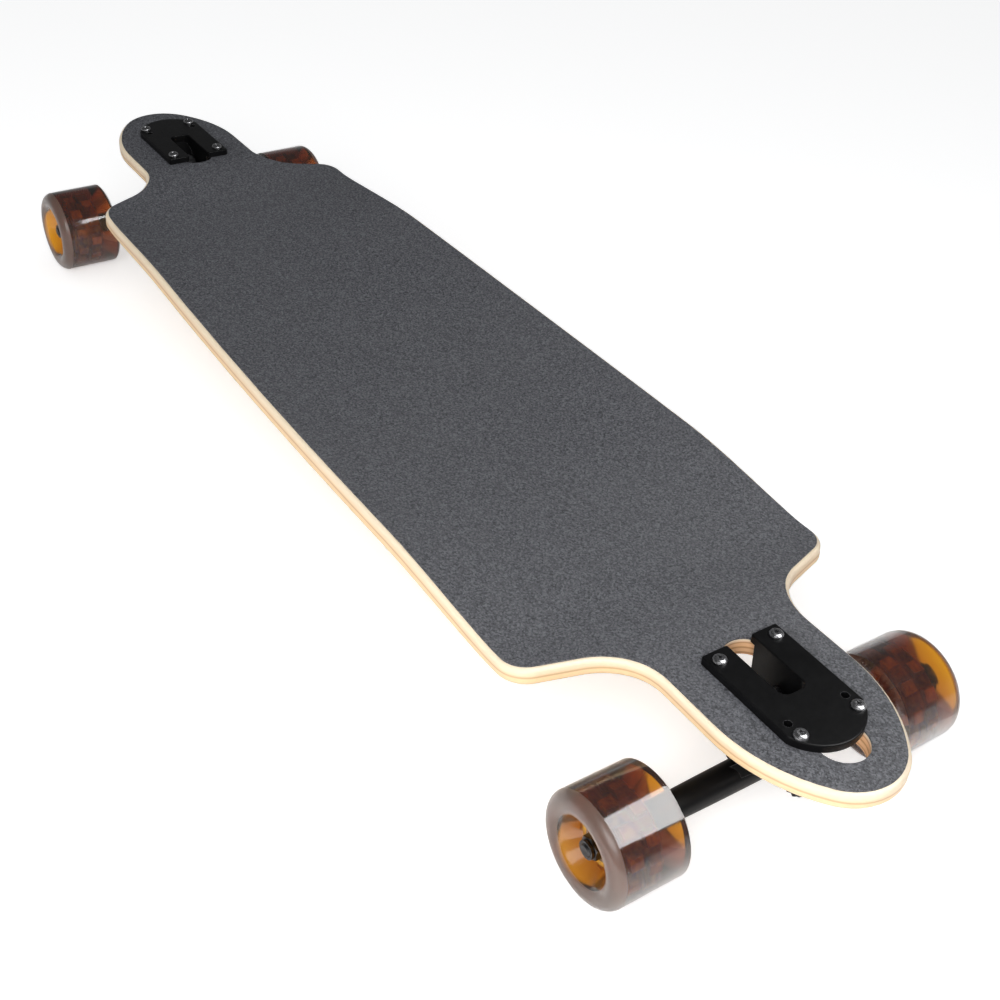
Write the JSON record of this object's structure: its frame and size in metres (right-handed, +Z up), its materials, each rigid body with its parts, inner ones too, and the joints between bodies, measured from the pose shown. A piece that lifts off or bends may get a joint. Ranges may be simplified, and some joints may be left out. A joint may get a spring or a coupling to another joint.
{
  "type": "longboard skateboard",
  "caption": "Drop-through longboard skateboard: pressed maple deck with grip tape, kingpin trucks that lean to steer, and translucent urethane wheels on ball bearings.",
  "frame": {"origin": "on the ground, below the middle of the deck", "axes": "+X towards the nose, +Y to the rider's left when they face the nose, +Z up"},
  "size_m": [0.9631, 0.2574, 0.1004],
  "materials": {
    "maple_plies": "clear-lacquered maple plies, end grain showing at the edge",
    "grit_sheet": "black abrasive grip tape",
    "black_casting": "cast aluminium, satin black powder coat",
    "black_rubber": "moulded, matt",
    "dark_steel": "blackened steel",
    "bushing_urethane": "cast urethane, satin",
    "bolt_steel": "zinc-plated steel",
    "wheel_urethane": "translucent amber-brown urethane, glossy tread and satin lips",
    "core_plastic": "moulded orange hub",
    "bearing_steel": "ground bearing steel"
  },
  "bodies": {
    "board": {"deck": "maple_plies", "grip_tape": "grit_sheet", "front_baseplate": "black_casting", "front_pivot_cup": "black_rubber", "front_kingpin": "dark_steel", "front_kingpin_nut": "dark_steel", "front_boardside_bushing": "bushing_urethane", "front_roadside_bushing": "bushing_urethane", "front_boardside_washer": "dark_steel", "front_roadside_washer": "dark_steel", "front_mounting_bolts": "bolt_steel", "front_mounting_nuts": "bolt_steel", "rear_baseplate": "black_casting", "rear_pivot_cup": "black_rubber", "rear_kingpin": "dark_steel", "rear_kingpin_nut": "dark_steel", "rear_boardside_bushing": "bushing_urethane", "rear_roadside_bushing": "bushing_urethane", "rear_boardside_washer": "dark_steel", "rear_roadside_washer": "dark_steel", "rear_mounting_bolts": "bolt_steel", "rear_mounting_nuts": "bolt_steel"},
    "front_steering": {"front_hanger": "black_casting", "front_axle": "dark_steel", "front_axle_nuts": "dark_steel", "front_speed_washers": "bolt_steel", "front_bearing_spacers": "bolt_steel", "front_bearing_inner_races": "bearing_steel"},
    "front_left_wheel": {"front_left_wheel_tyre": "wheel_urethane", "front_left_wheel_core": "core_plastic", "front_left_bearing_outer_races": "bearing_steel", "front_left_bearing_shields": "bearing_steel"},
    "front_left_rollers": {"front_left_bearing_balls": "bearing_steel", "front_left_bearing_cages": "bearing_steel"},
    "front_right_wheel": {"front_right_wheel_tyre": "wheel_urethane", "front_right_wheel_core": "core_plastic", "front_right_bearing_outer_races": "bearing_steel", "front_right_bearing_shields": "bearing_steel"},
    "front_right_rollers": {"front_right_bearing_balls": "bearing_steel", "front_right_bearing_cages": "bearing_steel"},
    "rear_steering": {"rear_hanger": "black_casting", "rear_axle": "dark_steel", "rear_axle_nuts": "dark_steel", "rear_speed_washers": "bolt_steel", "rear_bearing_spacers": "bolt_steel", "rear_bearing_inner_races": "bearing_steel"},
    "rear_left_wheel": {"rear_left_wheel_tyre": "wheel_urethane", "rear_left_wheel_core": "core_plastic", "rear_left_bearing_outer_races": "bearing_steel", "rear_left_bearing_shields": "bearing_steel"},
    "rear_left_rollers": {"rear_left_bearing_balls": "bearing_steel", "rear_left_bearing_cages": "bearing_steel"},
    "rear_right_wheel": {"rear_right_wheel_tyre": "wheel_urethane", "rear_right_wheel_core": "core_plastic", "rear_right_bearing_outer_races": "bearing_steel", "rear_right_bearing_shields": "bearing_steel"},
    "rear_right_rollers": {"rear_right_bearing_balls": "bearing_steel", "rear_right_bearing_cages": "bearing_steel"}
  },
  "joints": [
    {"name": "front_steer", "type": "hinge", "parent": "board", "child": "front_steering", "pos_m": [0.41243, 0, 0.05733], "axis": [0.7071, 0, 0.7071], "range_deg": [-20, 20], "stiffness_Nm_per_rad": 60, "deforming": ["front_boardside_bushing", "front_roadside_bushing"]},
    {"name": "front_left_spin", "type": "hinge", "parent": "front_steering", "child": "front_left_wheel", "pos_m": [0.399, 0.103, 0.034], "axis": [0, 1, 0], "continuous": true},
    {"name": "front_left_roller_orbit", "type": "hinge", "parent": "front_steering", "child": "front_left_rollers", "pos_m": [0.399, 0.103, 0.034], "axis": [0, 1, 0], "continuous": true},
    {"name": "front_right_spin", "type": "hinge", "parent": "front_steering", "child": "front_right_wheel", "pos_m": [0.399, -0.103, 0.034], "axis": [0, 1, 0], "continuous": true},
    {"name": "front_right_roller_orbit", "type": "hinge", "parent": "front_steering", "child": "front_right_rollers", "pos_m": [0.399, -0.103, 0.034], "axis": [0, 1, 0], "continuous": true},
    {"name": "rear_steer", "type": "hinge", "parent": "board", "child": "rear_steering", "pos_m": [-0.41243, 0, 0.05733], "axis": [-0.7071, 0, 0.7071], "range_deg": [-20, 20], "stiffness_Nm_per_rad": 60, "deforming": ["rear_boardside_bushing", "rear_roadside_bushing"]},
    {"name": "rear_left_spin", "type": "hinge", "parent": "rear_steering", "child": "rear_left_wheel", "pos_m": [-0.399, 0.103, 0.034], "axis": [0, 1, 0], "continuous": true},
    {"name": "rear_left_roller_orbit", "type": "hinge", "parent": "rear_steering", "child": "rear_left_rollers", "pos_m": [-0.399, 0.103, 0.034], "axis": [0, 1, 0], "continuous": true},
    {"name": "rear_right_spin", "type": "hinge", "parent": "rear_steering", "child": "rear_right_wheel", "pos_m": [-0.399, -0.103, 0.034], "axis": [0, 1, 0], "continuous": true},
    {"name": "rear_right_roller_orbit", "type": "hinge", "parent": "rear_steering", "child": "rear_right_rollers", "pos_m": [-0.399, -0.103, 0.034], "axis": [0, 1, 0], "continuous": true}
  ],
  "couplings": [
    {"joint": "front_left_roller_orbit", "follows": "front_left_spin", "ratio": 0.63},
    {"joint": "front_right_roller_orbit", "follows": "front_right_spin", "ratio": 0.63},
    {"joint": "rear_left_roller_orbit", "follows": "rear_left_spin", "ratio": 0.63},
    {"joint": "rear_right_roller_orbit", "follows": "rear_right_spin", "ratio": 0.63}
  ]
}
